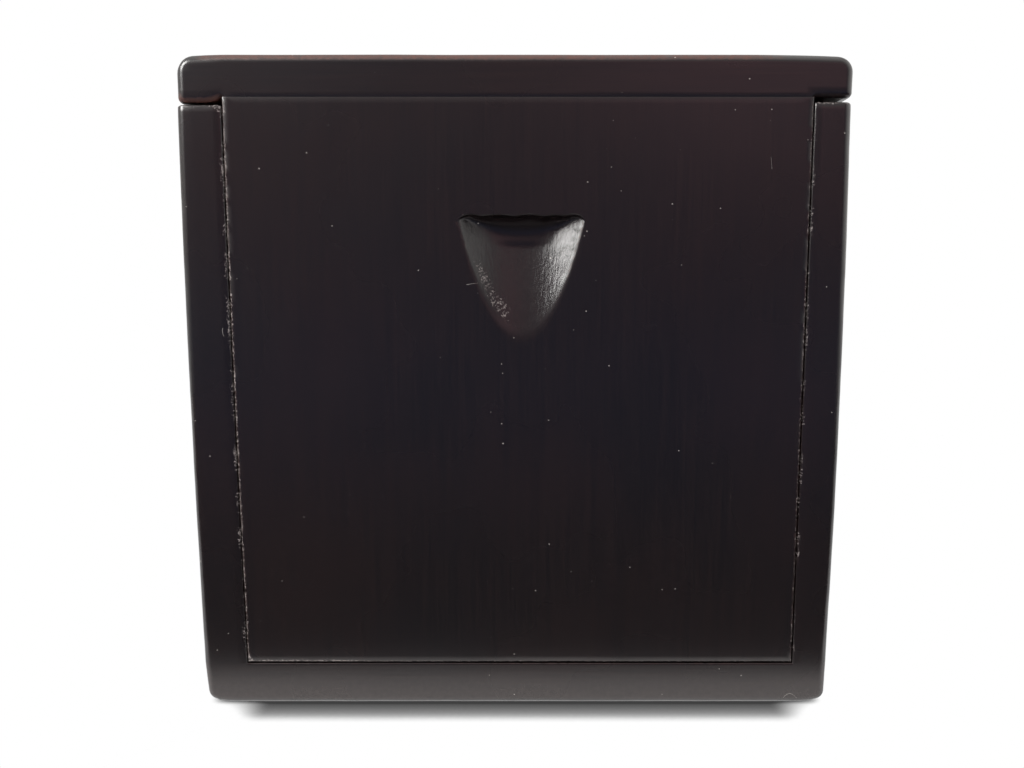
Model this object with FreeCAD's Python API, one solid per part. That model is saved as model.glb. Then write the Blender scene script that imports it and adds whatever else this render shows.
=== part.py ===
import FreeCAD, Part
import os

# A small lacquered wooden box that stands upright. The front panel and the top board are one
# lid, which slides up out of grooves in the side boards. Millimetres, +Z up, the front faces -Y,
# and the origin is under the middle of the box.

# Case
case_width = 110.0
case_depth = 90.0
left_swell = 0.4
right_swell = 0.8
bottom_thickness = 7.6
left_side_thickness = 7.3
right_side_thickness = 6.0
back_thickness = 7.0
left_top_gap = 1.25
right_top_gap = 0.8
back_top_gap = 1.0
corner_radius = 1.5
foot_radius = 1.4
arris_radius = 0.35

# Finger joints at the rear corners, counted from the bottom board up
finger_count = 5

# Lid
top_thickness = 7.0
top_overhang_left = 0.1
top_overhang_right = 0.4
top_edge_radius = 1.4
top_underside_radius = 0.8
panel_thickness = 7.0
panel_height = 96.1
panel_side_gap = 0.25
panel_foot_gap = 0.3
panel_arris_radius = 0.3

# Tongues behind the panel's face, and the grooves that they run in
tongue_thickness = 3.2
tongue_side_reach = 2.8
tongue_foot_reach = 2.5
tongue_head_reach = 2.5
groove_face_clearance = 0.25
groove_end_clearance = 0.3

# Thumb notch: a leaning round hollow that comes to nothing at its tip
notch_radius = 14.5
notch_height = 20.1
notch_tip_height = 57.0
notch_offset = 0.6
notch_depth = 4.6
notch_cove_radius = 3.5
notch_cove_setback = 0.3
notch_corner_radius = 1.2
notch_rim_radius = 0.35

# Wooden pegs
peg_diameter = 2.0
peg_tip_length = 2.0
peg_tip_diameter = 1.2
peg_glue_clearance = 0.02
bottom_peg_length = 19.0
corner_peg_length = 15.0
lid_peg_length = 16.0
side_peg_count = 4
back_peg_count = 3
lid_peg_count = 4
side_peg_margin = 8.0
back_peg_margin = 14.0
lid_peg_margin = 9.0

# How far every cutting shape runs past what it cuts, and how near counts as touching
overrun = 3.0
touch = 0.01

# Places worked out from the sizes
half_width = (left_swell + case_width + right_swell) / 2
left_wall_x = left_swell - half_width
right_wall_x = half_width - right_swell
front_y = -case_depth / 2
back_y = case_depth / 2
back_inner_y = back_y - back_thickness
left_inner_x = left_wall_x + left_side_thickness
right_inner_x = right_wall_x - right_side_thickness
opening_middle_x = (left_inner_x + right_inner_x) / 2
panel_foot_z = bottom_thickness + panel_foot_gap
lid_underside_z = panel_foot_z + panel_height
lid_top_z = lid_underside_z + top_thickness
panel_back_y = front_y + panel_thickness
tongue_front_y = panel_back_y - tongue_thickness
tongue_middle_y = panel_back_y - tongue_thickness / 2
tongue_left_x = left_inner_x - tongue_side_reach
tongue_right_x = right_inner_x + tongue_side_reach
tongue_foot_z = bottom_thickness - tongue_foot_reach
tongue_head_z = lid_underside_z + tongue_head_reach
groove_front_y = tongue_front_y - groove_face_clearance
groove_back_y = panel_back_y + groove_face_clearance
groove_left_x = tongue_left_x - groove_end_clearance
groove_right_x = tongue_right_x + groove_end_clearance
back_top_z = lid_underside_z - back_top_gap
finger_height = (back_top_z - bottom_thickness) / finger_count
outer_reach = half_width + overrun


def point(x, y, z):
    return FreeCAD.Vector(x, y, z)


def block(x0, x1, y0, y1, z0, z1):
    """A box between two planes on each axis."""
    return Part.makeBox(x1 - x0, y1 - y0, z1 - z0, point(x0, y0, z0))


def edges_where(shape, test):
    """The edges whose middle point passes the test."""
    chosen = []
    for edge in shape.Edges:
        middle = edge.valueAt((edge.FirstParameter + edge.LastParameter) / 2)
        if test(middle):
            chosen.append(edge)
    return chosen


def spread(low, high, count):
    """Evenly spaced places from low to high."""
    step = (high - low) / max(count - 1, 1)
    return [low + step * index for index in range(count)]


def one_solid(shape):
    """The single solid of a cut shape."""
    return shape.removeSplitter().Solids[0]


def cut_away(shape, tools):
    """The shape less every solid of the tools, taken one after another."""
    for tool in tools:
        for solid in tool.Solids:
            shape = shape.cut(solid)
    return shape


def case_envelope():
    """The outside of the case: sides that swell at mid height, rounded corners and foot."""
    middle_z = lid_underside_z / 2
    foot_left = point(left_wall_x, front_y, 0)
    foot_right = point(right_wall_x, front_y, 0)
    head_left = point(left_wall_x, front_y, lid_underside_z)
    head_right = point(right_wall_x, front_y, lid_underside_z)
    outline = Part.Wire([
        Part.makeLine(foot_left, foot_right),
        Part.Arc(foot_right, point(half_width, front_y, middle_z), head_right).toShape(),
        Part.makeLine(head_right, head_left),
        Part.Arc(head_left, point(-half_width, front_y, middle_z), foot_left).toShape(),
    ])
    body = Part.Face(outline).extrude(point(0, case_depth, 0))
    uprights = edges_where(body, lambda p: abs(p.z - middle_z) < touch)
    body = body.makeFillet(corner_radius, uprights)
    foot = edges_where(body, lambda p: p.z < touch)
    return body.makeFillet(foot_radius, foot)


def peg(start, direction, length, clearance):
    """A round peg with a slender tip, driven from start; with a clearance it is its hole."""
    radius = peg_diameter / 2 + clearance
    tip_radius = peg_tip_diameter / 2 + clearance
    shank_length = length - peg_tip_length
    head = start - direction * overrun
    shank_end = start + direction * shank_length
    shank = Part.makeCylinder(radius, shank_length + overrun, head, direction)
    tip = Part.makeCone(radius, tip_radius, peg_tip_length + clearance, shank_end, direction)
    return shank.fuse(tip)


def driven(places, direction, length, outside):
    """A group of pegs cut flush with the outside, and the holes for them."""
    pegs = []
    holes = []
    for place in places:
        pegs.append(one_solid(peg(place, direction, length, 0).common(outside)))
        holes.append(peg(place, direction, length, peg_glue_clearance))
    return Part.makeCompound(pegs), Part.makeCompound(holes)


def finger_span(index):
    """Bottom and top of one finger."""
    low = bottom_thickness + finger_height * index
    return low, low + finger_height


def back_fingers(sign, inner_x):
    """The places beside one side board that belong to the back board."""
    spans = []
    for index in range(1, finger_count, 2):
        low, high = finger_span(index)
        near_x, far_x = sorted((inner_x, sign * outer_reach))
        spans.append(block(near_x, far_x, back_inner_y, back_y + overrun, low, high))
    return Part.makeCompound(spans)


def side_blank(sign, inner_x, top_gap):
    """One side board before its groove and joints, shaped by the outside of the case."""
    near_x, far_x = sorted((inner_x, sign * outer_reach))
    board_top_z = lid_underside_z - top_gap
    blank = block(near_x, far_x, front_y, back_y, bottom_thickness, board_top_z)
    worn = edges_where(
        blank,
        lambda p: abs(p.z - board_top_z) < touch and abs(p.x) < outer_reach - touch,
    )
    worn += edges_where(
        blank,
        lambda p: abs(p.x - inner_x) < touch and abs(p.y - front_y) < touch,
    )
    return blank.makeFillet(arris_radius, worn).common(envelope)


def side_groove(sign, inner_x, groove_x):
    """The upright groove, open at the top, that one side tongue of the panel runs in."""
    near_x, far_x = sorted((inner_x - sign * overrun, groove_x))
    top_z = lid_underside_z + overrun
    return block(near_x, far_x, groove_front_y, groove_back_y, bottom_thickness - overrun, top_z)


def bottom_peg_places(middle_x):
    """Under the middle of one side board, behind the groove."""
    front = groove_back_y + side_peg_margin
    back = back_inner_y - side_peg_margin
    return [point(middle_x, y, 0) for y in spread(front, back, side_peg_count)]


def corner_pegs(sign, middle_x):
    """Pegs that lock one finger joint: through its side fingers, and through its back fingers."""
    side_places = []
    back_places = []
    for index in range(finger_count):
        low, high = finger_span(index)
        z = (low + high) / 2
        if index % 2:
            back_places.append(point(middle_x, back_y, z))
        else:
            side_places.append(point(sign * half_width, (back_inner_y + back_y) / 2, z))
    inward = point(-sign, 0, 0)
    forward = point(0, -1, 0)
    side_pegs, side_holes = driven(side_places, inward, corner_peg_length, envelope)
    rear_pegs, rear_holes = driven(back_places, forward, corner_peg_length, envelope)
    pegs = Part.makeCompound(side_pegs.Solids + rear_pegs.Solids)
    holes = Part.makeCompound(side_holes.Solids + rear_holes.Solids)
    return pegs, holes


def bottom_board(holes):
    """The bottom board, with the groove that the panel's foot drops into."""
    blank = block(-outer_reach, outer_reach, front_y, back_y, 0, bottom_thickness)
    groove = block(
        groove_left_x, groove_right_x, groove_front_y, groove_back_y,
        tongue_foot_z, bottom_thickness + overrun,
    )
    return one_solid(cut_away(blank.common(envelope), [groove] + holes))


def back_board(fingers, holes):
    """The rear wall between the side boards, with its fingers out to both corners."""
    wall = block(
        left_inner_x, right_inner_x, back_inner_y, back_y, bottom_thickness, back_top_z,
    )
    return one_solid(cut_away(wall.fuse(fingers).common(envelope), holes))


def lid_board_outline():
    """The top board before its housing: rounded corners and top edges, soft lower edges."""
    left_x = left_wall_x - top_overhang_left
    right_x = right_wall_x + top_overhang_right
    middle_z = (lid_underside_z + lid_top_z) / 2
    board = block(left_x, right_x, front_y, back_y, lid_underside_z, lid_top_z)
    uprights = edges_where(board, lambda p: abs(p.z - middle_z) < touch)
    upper = board.makeFillet(corner_radius, uprights)
    rim = edges_where(upper, lambda p: abs(p.z - lid_top_z) < touch)
    upper = upper.makeFillet(top_edge_radius, rim)
    low_edges = edges_where(
        board,
        lambda p: abs(p.z - lid_underside_z) < touch and abs(p.y - front_y) > touch,
    )
    return upper.common(board.makeFillet(top_underside_radius, low_edges))


def top_board(holes):
    """The top board, with the housing for the panel's upper tongue."""
    housing = block(
        tongue_left_x, tongue_right_x, tongue_front_y, panel_back_y,
        lid_underside_z - overrun, tongue_head_z,
    )
    return one_solid(cut_away(lid_board_outline(), [housing] + holes))


def thumb_notch():
    """The hollow for the thumb: a leaning cylinder whose flat upper end is coved along its back."""
    tip_z = panel_foot_z + notch_tip_height
    head_z = tip_z + notch_height
    x = opening_middle_x + notch_offset
    wide = notch_radius + overrun
    lean = point(0, notch_depth, notch_height)
    direction = lean / lean.Length
    outward = point(0, -direction.z, direction.y)
    below = direction * 2 * notch_radius
    behind = point(0, notch_cove_setback, 0)
    axis_foot = point(x, front_y, tip_z) + outward * notch_radius - below
    length = lean.Length + 3 * notch_radius
    cylinder = Part.makeCylinder(notch_radius, length, axis_foot, direction)
    back_foot = point(x - wide, front_y, tip_z) - below + behind
    back_head = point(x - wide, front_y, tip_z) + lean + behind
    front_head = point(x - wide, front_y - 2 * wide, head_z)
    front_foot = point(x - wide, front_y - 2 * wide, back_foot.z)
    profile = Part.makePolygon([back_foot, back_head, front_head, front_foot, back_foot])
    wedge = Part.Face(profile).extrude(point(2 * wide, 0, 0))
    inner_corner = edges_where(
        wedge,
        lambda p: abs(p.y - back_head.y) < touch and abs(p.z - head_z) < touch,
    )
    hollow = wedge.makeFillet(notch_cove_radius, inner_corner).common(cylinder)
    creases = [
        edge for edge in hollow.Edges
        if edge.BoundBox.ZMax > head_z - touch and edge.BoundBox.YMin > front_y - wide
    ]
    creases += edges_where(hollow, lambda p: abs(p.z - head_z) < touch and p.y < front_y - wide)
    return hollow.makeFillet(notch_corner_radius, creases)


def panel_face():
    """The panel between the side boards, with worn front edges and the thumb notch."""
    face = block(
        left_inner_x + panel_side_gap, right_inner_x - panel_side_gap,
        front_y, panel_back_y, panel_foot_z, lid_underside_z,
    )
    worn = edges_where(
        face,
        lambda p: abs(p.y - front_y) < touch and abs(p.z - lid_underside_z) > touch,
    )
    face = face.makeFillet(panel_arris_radius, worn).cut(thumb_notch())
    notch_x = opening_middle_x + notch_offset
    rim = [
        edge for edge in face.Edges
        if abs(edge.CenterOfMass.x - notch_x) < notch_radius
        and abs(edge.BoundBox.YMax - front_y) < touch
        and edge.BoundBox.ZMin > panel_foot_z + notch_tip_height - touch
        and edge.BoundBox.ZMax < lid_underside_z - touch
    ]
    return face.makeFillet(notch_rim_radius, rim)


def front_panel(holes):
    """The sliding front: its face, and tongues behind it on all four sides."""
    tongues = block(
        tongue_left_x, tongue_right_x, tongue_front_y, panel_back_y,
        tongue_foot_z, tongue_head_z,
    )
    panel = panel_face().fuse(tongues.cut(thumb_notch()))
    return cut_away(panel, holes).Solids[0]


envelope = case_envelope()
sides = {
    "left": (-1, left_wall_x, left_inner_x, left_top_gap, groove_left_x),
    "right": (1, right_wall_x, right_inner_x, right_top_gap, groove_right_x),
}
nodes = {}
bottom_holes = []
back_holes = []
fingers_of_back = []

for side, (sign, wall_x, inner_x, top_gap, groove_x) in sides.items():
    middle_x = (wall_x + inner_x) / 2
    foot_pegs, foot_holes = driven(
        bottom_peg_places(middle_x), point(0, 0, 1), bottom_peg_length, envelope,
    )
    locking_pegs, locking_holes = corner_pegs(sign, middle_x)
    fingers = back_fingers(sign, inner_x)
    blank = side_blank(sign, inner_x, top_gap)
    groove = side_groove(sign, inner_x, groove_x)
    board = cut_away(blank, [groove, fingers, foot_holes, locking_holes])
    nodes[side + "_side_board"] = one_solid(board)
    nodes[side + "_bottom_pegs"] = foot_pegs
    nodes[side + "_corner_pegs"] = locking_pegs
    bottom_holes.append(foot_holes)
    back_holes.append(locking_holes)
    fingers_of_back += fingers.Solids

back_row = spread(
    left_inner_x + back_peg_margin, right_inner_x - back_peg_margin, back_peg_count,
)
back_foot_pegs, back_foot_holes = driven(
    [point(x, (back_inner_y + back_y) / 2, 0) for x in back_row],
    point(0, 0, 1), bottom_peg_length, envelope,
)
nodes["back_bottom_pegs"] = back_foot_pegs
nodes["bottom_board"] = bottom_board(bottom_holes + [back_foot_holes])
nodes["back_board"] = back_board(fingers_of_back, back_holes + [back_foot_holes])

lid_row = spread(left_inner_x + lid_peg_margin, right_inner_x - lid_peg_margin, lid_peg_count)
below_top = block(-outer_reach, outer_reach, front_y, back_y, 0, lid_top_z)
lid_pegs, lid_holes = driven(
    [point(x, tongue_middle_y, lid_top_z) for x in lid_row],
    point(0, 0, -1), lid_peg_length, below_top,
)
nodes["lid_pegs"] = lid_pegs
nodes["top_board"] = top_board([lid_holes])
nodes["front_panel"] = front_panel([lid_holes])

os.makedirs("parts", exist_ok=True)
for name, shape in nodes.items():
    shape.exportStep("parts/" + name + ".step")
    print(name, len(shape.Solids), "solids, valid", shape.isValid(), "volume", round(shape.Volume, 2))
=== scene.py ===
import math

import bmesh
import bpy
from bpy.props import FloatProperty, FloatVectorProperty, IntProperty, PointerProperty
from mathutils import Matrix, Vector, noise


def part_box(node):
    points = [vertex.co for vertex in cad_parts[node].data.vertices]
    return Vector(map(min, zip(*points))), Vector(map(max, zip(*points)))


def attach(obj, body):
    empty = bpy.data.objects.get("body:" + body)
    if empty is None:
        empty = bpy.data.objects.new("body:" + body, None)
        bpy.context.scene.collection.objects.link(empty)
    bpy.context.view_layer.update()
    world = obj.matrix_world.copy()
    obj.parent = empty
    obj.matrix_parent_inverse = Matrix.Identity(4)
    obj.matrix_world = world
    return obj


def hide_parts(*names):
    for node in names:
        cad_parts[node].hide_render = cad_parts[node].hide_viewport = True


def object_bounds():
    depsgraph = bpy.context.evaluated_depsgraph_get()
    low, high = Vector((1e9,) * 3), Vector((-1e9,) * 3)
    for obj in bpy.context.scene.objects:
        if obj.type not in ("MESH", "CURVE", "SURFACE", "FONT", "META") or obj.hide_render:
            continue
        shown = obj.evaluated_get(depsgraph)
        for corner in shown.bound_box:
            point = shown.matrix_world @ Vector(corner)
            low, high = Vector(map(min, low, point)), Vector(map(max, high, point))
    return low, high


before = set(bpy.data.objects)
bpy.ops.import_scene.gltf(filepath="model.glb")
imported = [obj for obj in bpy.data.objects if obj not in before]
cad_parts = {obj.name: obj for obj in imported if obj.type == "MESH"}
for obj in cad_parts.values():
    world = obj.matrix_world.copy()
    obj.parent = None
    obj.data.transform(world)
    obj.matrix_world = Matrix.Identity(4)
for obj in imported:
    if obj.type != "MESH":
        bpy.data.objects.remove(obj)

bl_info = {
    "name": "Lacquered Box",
    "version": (1, 0, 0),
    "blender": (4, 5, 0),
    "location": "View3D > Sidebar > Lacquered Box",
    "description": "A small lacquered wooden box with a lid that slides up, piece by piece",
    "category": "Add Mesh",
}

# Lengths are in metres, and a size in millimetres is written with this
MM = 0.001

# Places that the frame gives
cad_low, cad_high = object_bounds()
foot_low, foot_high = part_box("bottom_board")
left_low, left_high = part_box("left_side_board")
right_low, right_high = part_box("right_side_board")
back_low, back_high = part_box("back_board")
top_low, top_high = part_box("top_board")
panel_low, panel_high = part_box("front_panel")
front_y = cad_low.y
back_y = cad_high.y


def linear(code):
    """A colour written as an sRGB hex value, made linear, with full alpha."""
    shares = [int(code[i:i + 2], 16) / 255 for i in (1, 3, 5)]
    return (*((s + 0.055) ** 2.4 / 1.055 ** 2.4 if s > 0.04045 else s / 12.92 for s in shares), 1)


# Sizes and colours that a user would change


class CaseSizes(bpy.types.PropertyGroup):
    left_bow: FloatProperty(
        name="Left bow", description="How far the left side draws in from its widest to its foot",
        default=0.8 * MM, unit="LENGTH")
    left_bow_height: FloatProperty(
        name="Left bow height", description="Table to where the left side is widest",
        default=73 * MM, unit="LENGTH")
    right_bow: FloatProperty(
        name="Right bow", description="How far the right side draws in from its widest to its foot",
        default=0.65 * MM, unit="LENGTH")
    right_bow_height: FloatProperty(
        name="Right bow height", description="Table to where the right side is widest",
        default=56 * MM, unit="LENGTH")
    foot_wear: FloatProperty(
        name="Foot wear", description="How far the left foot is rubbed in at the table",
        default=0.5 * MM, unit="LENGTH")
    foot_wear_height: FloatProperty(
        name="Foot wear height", description="Height of the rubbed part of the left foot",
        default=8 * MM, unit="LENGTH")
    seam_taper: FloatProperty(
        name="Seam taper", description="How far the panel's left edge runs inward at its foot",
        default=0.8 * MM, unit="LENGTH")
    corner_radius: FloatProperty(
        name="Corner radius", description="Outer corners, the foot and the lid's upper edges",
        default=1.5 * MM, unit="LENGTH")
    foot_lift: FloatProperty(
        name="Foot lift", description="How far the underside is rubbed away at both ends",
        default=0.8 * MM, unit="LENGTH")
    foot_lift_length: FloatProperty(
        name="Foot lift length", description="Length of those rubbed ends",
        default=6 * MM, unit="LENGTH")
    arris_radius: FloatProperty(
        name="Arris radius", description="Worn edges of the side boards round the opening",
        default=0.25 * MM, unit="LENGTH")
    finger_count: IntProperty(
        name="Fingers", description="Fingers in each rear corner joint", default=5)


class LidSizes(bpy.types.PropertyGroup):
    right_droop: FloatProperty(
        name="Right droop", description="How far the top board's right end is rubbed down",
        default=0.45 * MM, unit="LENGTH")
    right_droop_length: FloatProperty(
        name="Right droop length", description="Length of that rubbed end",
        default=18 * MM, unit="LENGTH")
    left_droop: FloatProperty(
        name="Left droop", description="How far the top board's left end is rubbed down",
        default=0.4 * MM, unit="LENGTH")
    left_droop_length: FloatProperty(
        name="Left droop length", description="Length of that rubbed end",
        default=9 * MM, unit="LENGTH")
    end_radius: FloatProperty(
        name="End radius", description="Upper edges of the top board's two ends",
        default=2.6 * MM, unit="LENGTH")
    underside_radius: FloatProperty(
        name="Underside radius", description="Lower edges of the top board past the panel",
        default=0.8 * MM, unit="LENGTH")
    left_drop: FloatProperty(
        name="Left drop", description="How much lower the top board's left end hangs over its stile",
        default=0.85 * MM, unit="LENGTH")
    hairline: FloatProperty(
        name="Hairline", description="Edges where the panel meets the top board",
        default=0.05 * MM, unit="LENGTH")
    panel_gap: FloatProperty(
        name="Panel gap", description="Open line between the panel's face and a side board",
        default=0.15 * MM, unit="LENGTH")
    panel_foot_gap: FloatProperty(
        name="Panel foot gap", description="Open line under the panel's face",
        default=0.3 * MM, unit="LENGTH")
    panel_radius: FloatProperty(
        name="Panel arris radius", description="Worn front edges of the panel",
        default=0.22 * MM, unit="LENGTH")
    tongue_thickness: FloatProperty(
        name="Tongue thickness", description="Tongues behind the panel's face",
        default=3.2 * MM, unit="LENGTH")
    face_clearance: FloatProperty(
        name="Groove face clearance", description="Room in front of and behind a tongue",
        default=0.25 * MM, unit="LENGTH")
    end_clearance: FloatProperty(
        name="Groove end clearance", description="Room past the end of a tongue",
        default=0.3 * MM, unit="LENGTH")


class NotchSizes(bpy.types.PropertyGroup):
    radius: FloatProperty(
        name="Radius", description="Round of the hollow from side to side",
        default=14.5 * MM, unit="LENGTH")
    tip_height: FloatProperty(
        name="Tip height", description="Panel's lower edge to the notch's tip",
        default=57 * MM, unit="LENGTH")
    height: FloatProperty(
        name="Height", description="Tip to the steep upper edge",
        default=20.1 * MM, unit="LENGTH")
    depth: FloatProperty(
        name="Depth", description="Depth that the floor would reach at the upper edge",
        default=4.6 * MM, unit="LENGTH")
    offset: FloatProperty(
        name="Offset", description="Middle of the opening to the middle of the notch",
        default=0.6 * MM, unit="LENGTH")
    cove_radius: FloatProperty(
        name="Cove radius", description="Hollow round under the upper edge",
        default=3.5 * MM, unit="LENGTH")
    corner_radius: FloatProperty(
        name="Corner radius", description="Upper corners seen from the front",
        default=1.5 * MM, unit="LENGTH")
    softness: FloatProperty(
        name="Softness", description="Over what depth the cove and the round run together",
        default=1.2 * MM, unit="LENGTH")
    rim_radius: FloatProperty(
        name="Rim radius", description="Worn rim round the notch",
        default=0.3 * MM, unit="LENGTH")
    unevenness: FloatProperty(
        name="Unevenness", description="How far the upper edge wanders up and down",
        default=0.25 * MM, unit="LENGTH")


class FinishColours(bpy.types.PropertyGroup):
    lacquer: FloatVectorProperty(
        name="Lacquer", description="Brown-black lacquer", subtype="COLOR", size=4,
        default=linear("#0e0a0c"))
    lacquer_warm: FloatVectorProperty(
        name="Warm lacquer", description="Where the coat is thin", subtype="COLOR", size=4,
        default=linear("#170f0f"))
    # Also painted light on the top board's rounded underside over the left stile, where the gap lies
    # in shade
    worn_edge_and_painted_light: FloatVectorProperty(
        name="Worn edge", description="Reddish brown that shows along rubbed edges",
        subtype="COLOR", size=4, default=linear("#4a2820"))
    # Also the colour of painted highlights along sharp edges and painted glints in the thumb notch
    chips_and_painted_highlights: FloatVectorProperty(
        name="Chipped edge", description="Crumbs of bare lacquer along the sharp edges",
        subtype="COLOR", size=4, default=linear("#7b7371"))
    # Grey mixed into the front of the foot, most at the table and none at the foot's top
    grey_toward_table: FloatVectorProperty(
        name="Scuffed foot", description="Grey rub marks near the table", subtype="COLOR",
        size=4, default=linear("#3b3533"))
    dust: FloatVectorProperty(
        name="Dust", description="Specks that lie on the lacquer", subtype="COLOR", size=4,
        default=linear("#b0aba6"))
    inside: FloatVectorProperty(
        name="Inside", description="Wood wiped once with thin lacquer",
        subtype="COLOR", size=4, default=linear("#3a2218"))
    inside_dark: FloatVectorProperty(
        name="Inside grain", description="Darker grain of the wiped wood",
        subtype="COLOR", size=4, default=linear("#20130e"))
    peg: FloatVectorProperty(
        name="Peg", description="Hard wood of the pegs", subtype="COLOR", size=4,
        default=linear("#291b16"))


class StageSizes(bpy.types.PropertyGroup):
    camera_distance: FloatProperty(
        name="Camera distance", description="Front of the box to the lens",
        default=129.2 * MM, unit="LENGTH")
    camera_height: FloatProperty(
        name="Camera height", description="Table to the lens", default=71.1 * MM, unit="LENGTH")
    camera_side: FloatProperty(
        name="Camera side", description="Middle of the box to the lens",
        default=-0.53 * MM, unit="LENGTH")
    camera_pitch: FloatProperty(
        name="Camera pitch", description="How far the lens looks down",
        default=math.radians(6.2), subtype="ANGLE")
    camera_lens: FloatProperty(
        name="Lens", description="Focal length for a 36 mm wide frame, in millimetres",
        default=27.04)


# Working by hand in code: selecting, rounding, slicing and cutting


# The axes of the box: from left to right, from front to back, and up
ACROSS, DEEP, UPRIGHT = 0, 1, 2

# How far past a rounded edge a cut holds the flat face beside it
HOLD = 0.08 * MM

# How far a cutter reaches past the face that it cuts
PAST = 3 * MM

# Depths that hand planing leaves on the faces and long use on the edges
PLANED = 0.09 * MM
RUBBED = 0.1 * MM


def deselect_everything():
    if bpy.context.object and bpy.context.object.mode != "OBJECT":
        bpy.ops.object.mode_set(mode="OBJECT")
    bpy.ops.object.select_all(action="DESELECT")


def make_active(piece):
    deselect_everything()
    piece.select_set(True)
    bpy.context.view_layer.objects.active = piece


def start_editing(piece, kind):
    make_active(piece)
    bpy.ops.object.mode_set(mode="EDIT")
    bpy.ops.mesh.select_mode(type=kind)
    bpy.ops.mesh.select_all(action="DESELECT")


def stop_editing():
    bpy.ops.object.mode_set(mode="OBJECT")


def block(name, low, high):
    """A plain block between two corners, to be shaped."""
    low, high = Vector(low), Vector(high)
    deselect_everything()
    bpy.ops.mesh.primitive_cube_add(size=1, location=(low + high) / 2, scale=high - low)
    piece = bpy.context.object
    piece.name = name
    piece.data.name = name
    bpy.ops.object.transform_apply(location=True, rotation=True, scale=True)
    return piece


def select_edges(piece, test):
    """Selects the edges whose two ends pass the test, and says how many there are."""
    mesh = bmesh.from_edit_mesh(piece.data)
    bpy.ops.mesh.select_all(action="DESELECT")
    count = 0
    for edge in mesh.edges:
        if test(edge.verts[0].co, edge.verts[1].co):
            edge.select_set(True)
            count += 1
    bmesh.update_edit_mesh(piece.data)
    return count


def round_edges(piece, radius, segments, test):
    """Bevels the edges that pass the test to a round of the given radius."""
    start_editing(piece, "EDGE")
    if not select_edges(piece, test):
        raise RuntimeError(f"{piece.name} has no edge to round there")
    bpy.ops.mesh.bevel(offset=radius, segments=segments, profile=0.5, affect="EDGES")
    stop_editing()


def slice_across(piece, axis, places):
    """Cuts the faces across at each place, so that the surface has points to move."""
    start_editing(piece, "FACE")
    normal = Vector((0, 0, 0))
    normal[axis] = 1
    for place in places:
        bpy.ops.mesh.select_all(action="SELECT")
        bpy.ops.mesh.bisect(plane_co=normal * place, plane_no=normal)
    stop_editing()


def slice_beside(piece, axis, low, high, low_radius, high_radius):
    """Cuts just past the rounded edges of a board, to keep the faces between them flat."""
    slice_across(piece, axis, (
        low[axis] + low_radius + HOLD, high[axis] - high_radius - HOLD))


def slice_evenly(piece, low, high, spacings):
    """Cuts a board into even strips, first along one axis and then along the next."""
    for axis, spacing in spacings:
        start, length = low[axis], high[axis] - low[axis]
        count = max(int(round(length / spacing)), 1)
        slice_across(piece, axis, [start + length * index / count for index in range(1, count)])


def combine(piece, tool, operation):
    """Joins the tool to the piece or cuts it away, and uses the tool up."""
    make_active(piece)
    step = piece.modifiers.new("joinery", "BOOLEAN")
    step.operation = operation
    step.solver = "EXACT"
    step.object = tool
    bpy.ops.object.modifier_apply(modifier=step.name)
    bpy.data.objects.remove(tool)


def bore_for(piece, pegs):
    """Drills the holes for a group of pegs: a copy of the pegs, a little wider, cut away."""
    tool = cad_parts[pegs].copy()
    tool.data = tool.data.copy()
    bpy.context.collection.objects.link(tool)
    tool.parent = None
    make_active(tool)
    tool.data.materials.clear()
    start_editing(tool, "VERT")
    bpy.ops.mesh.select_all(action="SELECT")
    bpy.ops.mesh.remove_doubles(threshold=0.001 * MM)
    bpy.ops.transform.shrink_fatten(value=0.02 * MM)
    stop_editing()
    combine(piece, tool, "DIFFERENCE")


def close_to(a, b):
    return abs(a - b) < 0.02 * MM


def along(axis, a, b):
    """True if the edge from a to b runs along the axis."""
    return all(close_to(a[i], b[i]) for i in range(3) if i != axis)


def both_at(axis, place, a, b):
    """True if both ends of the edge from a to b lie at that place along the axis."""
    return close_to(a[axis], place) and close_to(b[axis], place)


def held(value):
    """The value, held between 0 and 1."""
    return min(max(value, 0), 1)


def soft_step(low, high, value):
    """0 at the low value and 1 at the high one, with a smooth run between them."""
    share = held((value - low) / (high - low))
    return share * share * (3 - 2 * share)


# The uneven outside that hand planing and rubbing leave


def cloud_texture(name, size, depth):
    """Soft clouds of about that size, made once and used for every board."""
    texture = bpy.data.textures.get(name)
    if texture is None:
        texture = bpy.data.textures.new(name, "CLOUDS")
        texture.noise_scale = size
        texture.noise_depth = depth
    return texture


def shift_surface(piece, direction, strength, texture, weights):
    """Moves part of the surface along one direction by a texture, or all alike without one."""
    group = piece.vertex_groups.new(name="part")
    for index, weight in weights.items():
        group.add([index], weight, "REPLACE")
    make_active(piece)
    step = piece.modifiers.new("finish", "DISPLACE")
    step.texture = texture
    step.texture_coords = "LOCAL"
    step.direction = direction
    step.mid_level = 0
    step.strength = strength
    step.vertex_group = group.name
    bpy.ops.object.modifier_apply(modifier=step.name)
    piece.vertex_groups.clear()


def plane_by_hand(piece, sizes):
    """Lowers the outside a little unevenly, by up to a tenth of a millimetre.

    The lowering fades out below the skin, so that it leaves no step in a hollow.
    """
    reach = sizes.corner_radius + 0.1 * MM
    waves = cloud_texture("hand planing", 16 * MM, 1)
    points = piece.data.vertices
    skins = (
        ("Y", PLANED, lambda p: p.y - front_y),
        ("Y", -PLANED, lambda p: back_y - p.y),
        ("X", PLANED, lambda p: p.x - cad_low.x),
        ("X", -PLANED, lambda p: cad_high.x - p.x),
        ("Z", -PLANED, lambda p: top_high.z - p.z),
    )
    for direction, strength, below in skins:
        weights = {
            point.index: min((1 - below(point.co) / reach) * 1.25, 1)
            for point in points if below(point.co) < reach}
        if weights:
            shift_surface(piece, direction, strength, waves, weights)


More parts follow.
